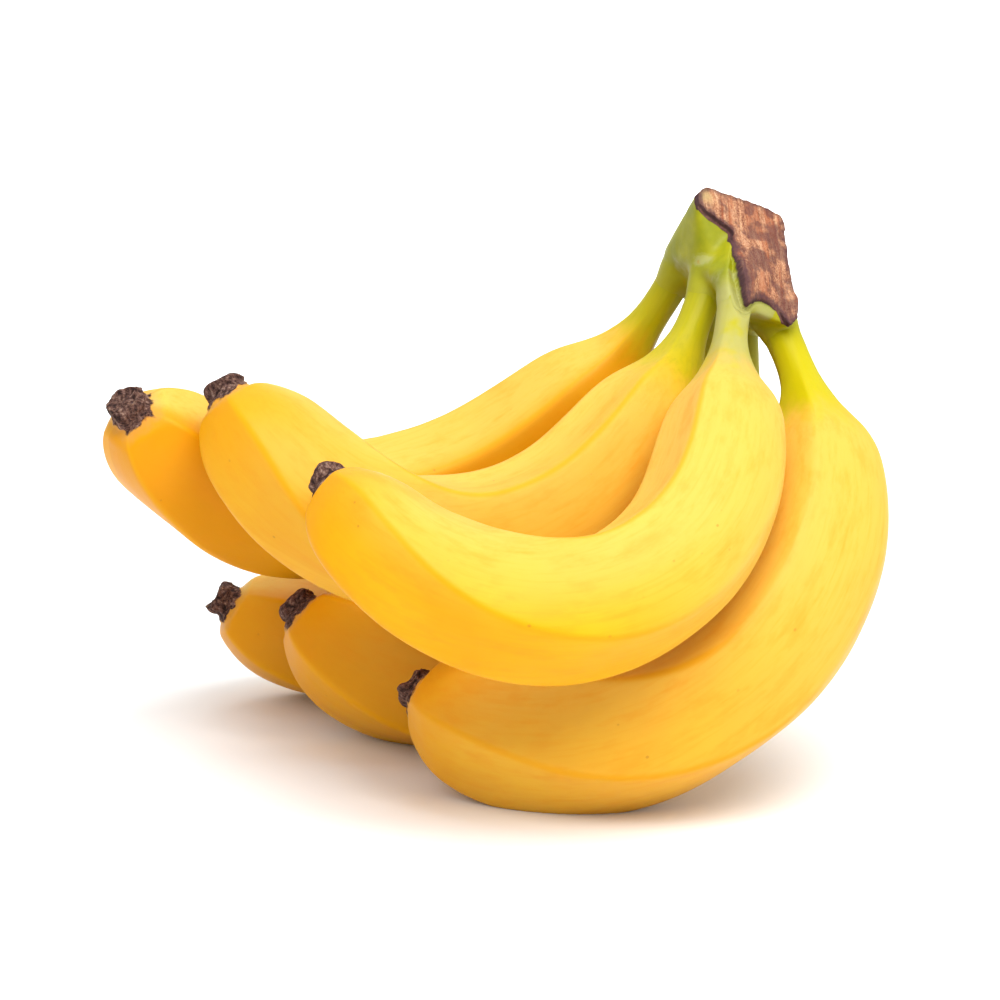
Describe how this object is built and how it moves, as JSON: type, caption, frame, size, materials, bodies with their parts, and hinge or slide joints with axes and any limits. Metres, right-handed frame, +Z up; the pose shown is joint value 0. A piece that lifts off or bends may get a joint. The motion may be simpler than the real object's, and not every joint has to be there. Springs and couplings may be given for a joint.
{
  "type": "bunch of bananas",
  "caption": "Ripe yellow bananas in two curved rows on one cut woody crown, lying on the bellies of the lower row.",
  "frame": {"origin": "middle of the bunch's box, on the surface that the bunch lies on", "axes": "+Z up from the surface; +X along the bunch's length, towards the side where the crown is; +Y towards the back, away from the foremost banana"},
  "size_m": [0.2054, 0.1632, 0.1483],
  "materials": {
    "peel": "satin",
    "crown": "matte"
  },
  "bodies": {
    "root": {"crown": "crown", "banana_upper_back": "peel", "banana_upper_middle": "peel", "banana_upper_front": "peel", "banana_lower_back": "peel", "banana_lower_middle": "peel", "banana_lower_front": "peel"}
  },
  "joints": []
}
